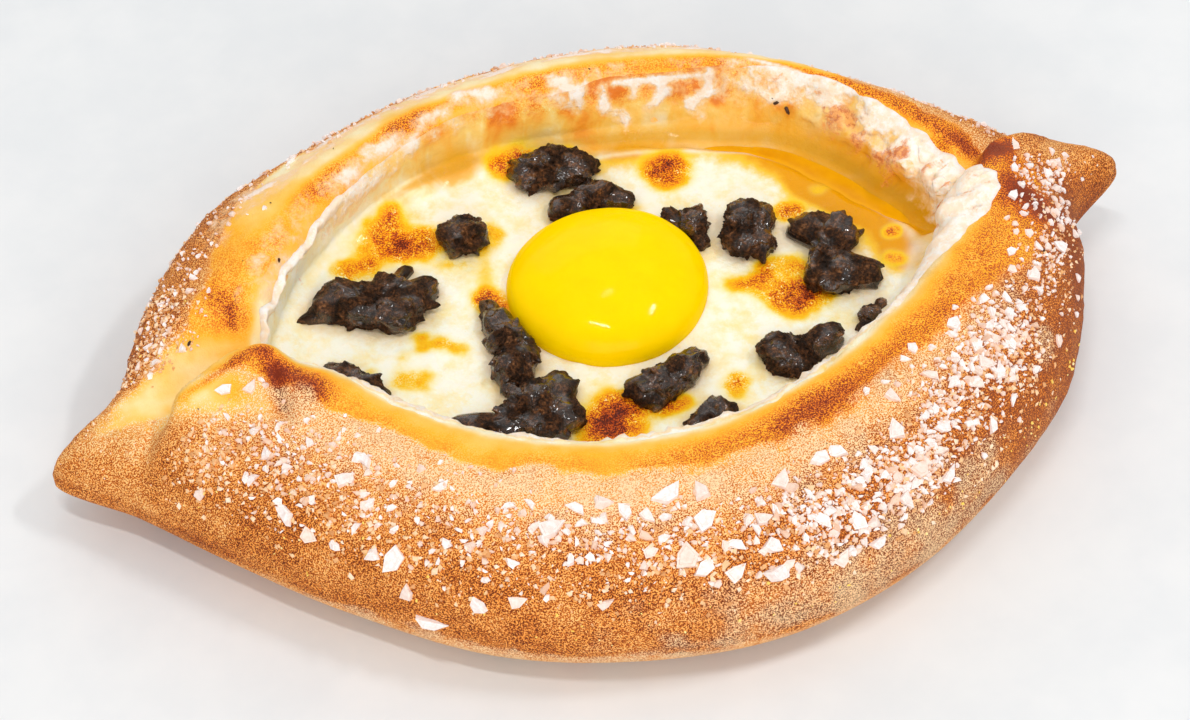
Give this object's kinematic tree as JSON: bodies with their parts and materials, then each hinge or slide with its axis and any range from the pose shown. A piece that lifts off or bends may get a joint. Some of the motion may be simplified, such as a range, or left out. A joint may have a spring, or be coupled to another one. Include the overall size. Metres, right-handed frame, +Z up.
{
  "type": "khachapuri",
  "caption": "Boat-shaped cheese bread with pinched tips, a pool of baked cheese, a raw egg yolk, dark crumbly clumps and coarse salt on the crust.",
  "frame": {"origin": "on the flat underside of the bread, in the middle between the two tips and between the two sides", "axes": "+Z up from the flat underside, +X along the long axis towards the higher tip, -Y towards the broad front roll"},
  "size_m": [0.2489, 0.161, 0.0394],
  "materials": {
    "crust": "baked crust, floury and satin, glossy along the inner rim",
    "cheese": "melted cheese, satin to wet",
    "yolk": "wet and glossy",
    "clump": "oily, craggy",
    "salt": "translucent flakes",
    "butter": "thin wet film"
  },
  "bodies": {
    "root": {"bread": "crust", "cheese": "cheese", "yolk": "yolk", "clump_back": "clump", "clump_behind_yolk": "clump", "clump_nub": "clump", "clump_wide_left": "clump", "clump_tall_left": "clump", "clump_wide_front": "clump", "clump_under_yolk": "clump", "clump_front": "clump", "clump_front_right": "clump", "clump_by_yolk": "clump", "clump_right": "clump", "clump_wide_right": "clump", "clump_edge_right": "clump", "clump_edge_left": "clump"}
  },
  "joints": []
}
